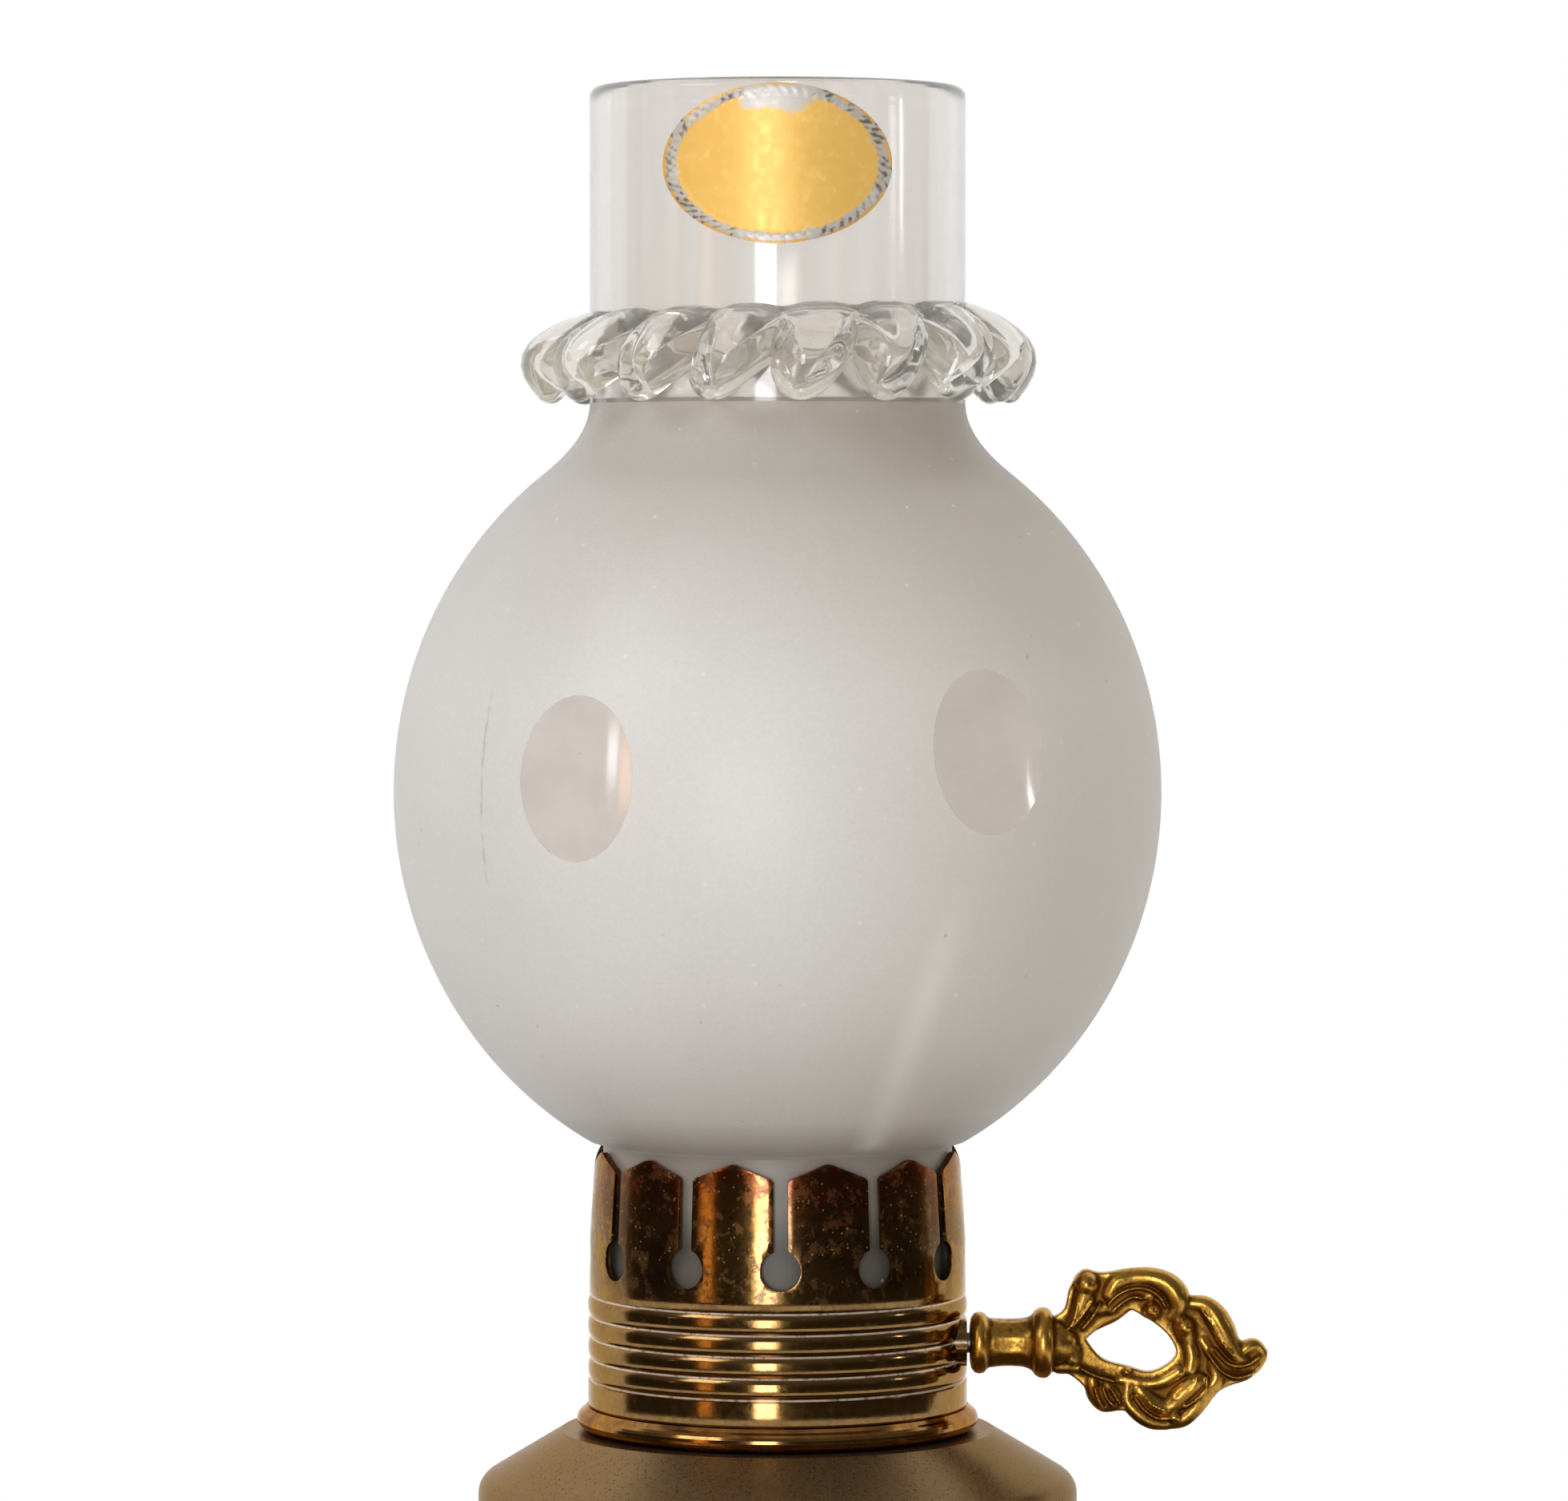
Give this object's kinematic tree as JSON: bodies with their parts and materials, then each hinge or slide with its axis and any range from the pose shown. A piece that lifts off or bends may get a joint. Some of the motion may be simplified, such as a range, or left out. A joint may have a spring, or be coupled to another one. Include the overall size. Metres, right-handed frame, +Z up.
{
  "type": "ashtray oil lamp",
  "caption": "Small oil lamp with a frosted glass globe, slotted brass burner and ornate wick key, standing in a round metal ashtray with cigarette rests.",
  "frame": {"origin": "centre of the flat face that the lamp stands on, on the lamp's axis", "axes": "+Z up along the lamp's axis, -Y to the front with the label, +X to the wick key"},
  "size_m": [0.12, 0.12, 0.1617],
  "materials": {
    "felt": "matt wool felt",
    "bronze": "satin brown bronze patina",
    "brass": "polished, with brown tarnish",
    "dark_brass": "dull, darkened by heat",
    "gilt_brass": "cast and gilded, dark in its hollows",
    "steel": "plain",
    "cotton": "woven, burnt at its tip",
    "frosted_glass": "satin frosted below the frill, clear above it",
    "clear_glass": "clear, fire polished",
    "gold_foil": "gold foil on paper, blank"
  },
  "bodies": {
    "base": {"base_pad": "felt", "ashtray_dish": "bronze", "cigarette_rests": "brass", "stud_washer": "steel", "stud_nut": "brass", "foot_ring": "brass", "font_lower_shell": "bronze", "font_upper_shell": "bronze", "font_stud": "brass", "font_collar": "brass"},
    "burner": {"burner_gallery": "brass", "burner_base_plate": "dark_brass", "burner_screw_neck": "dark_brass", "air_plate": "dark_brass", "wick_tube": "dark_brass", "flame_dome": "brass", "spindle_bush": "dark_brass", "spindle_bracket": "dark_brass"},
    "key": {"wick_key": "gilt_brass", "key_spindle": "steel", "feed_wheels": "steel"},
    "wick_body": {"wick": "cotton"},
    "chimney": {"glass_chimney": "frosted_glass", "glass_frill": "clear_glass", "foil_label": "gold_foil"}
  },
  "joints": [
    {"name": "burner_lift", "type": "slide", "parent": "base", "child": "burner", "axis": [0, 0, 1], "range_m": [0, 0.045]},
    {"name": "chimney_lift", "type": "slide", "parent": "burner", "child": "chimney", "axis": [0, 0, 1], "range_m": [0, 0.07]},
    {"name": "key_turn", "type": "hinge", "parent": "burner", "child": "key", "pos_m": [0, -0.0043, 0.0386], "axis": [1, 0, 0], "range_deg": [-150, 130]},
    {"name": "wick_slide", "type": "slide", "parent": "burner", "child": "wick_body", "axis": [0, 0, 1], "range_m": [-0.008, 0.007]}
  ],
  "couplings": [
    {"joint": "wick_slide", "follows": "key_turn", "m_per_rad": 0.003}
  ]
}
